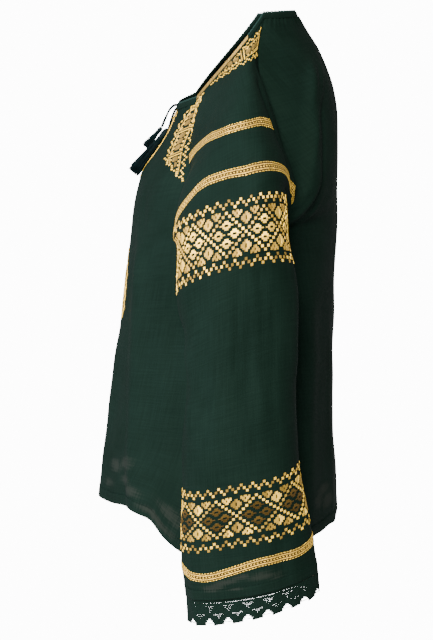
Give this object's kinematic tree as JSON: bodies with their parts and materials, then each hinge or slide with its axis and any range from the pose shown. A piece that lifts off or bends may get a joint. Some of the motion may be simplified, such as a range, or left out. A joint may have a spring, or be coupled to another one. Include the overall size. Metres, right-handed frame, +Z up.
{
  "type": "peasant blouse",
  "caption": "Peasant blouse with raglan sleeves, gathered neckline with a slit and tasselled drawstring, stitched geometric bands, and lace cuffs, filled out as worn.",
  "frame": {"origin": "midway between the shoulders, level with the sides of the neckline, where the wearer's shoulders hold it up", "axes": "+Z up, the front faces -Y, the wearer's left is +X"},
  "size_m": [0.6778, 0.311, 0.6958],
  "materials": {
    "cloth": "matt plain-weave linen, dark green, with gold stitched bands",
    "lace": "matt crocheted cotton, dark green",
    "silk": "silky blue-green thread"
  },
  "bodies": {
    "root": {"front": "cloth", "back": "cloth", "sleeve_left": "cloth", "sleeve_right": "cloth", "neck_casing": "cloth", "neck_edging": "lace", "cuff_lace_left": "lace", "cuff_lace_right": "lace", "drawstring_left": "silk", "drawstring_right": "silk", "tassel_left": "silk", "tassel_right": "silk"}
  },
  "joints": []
}
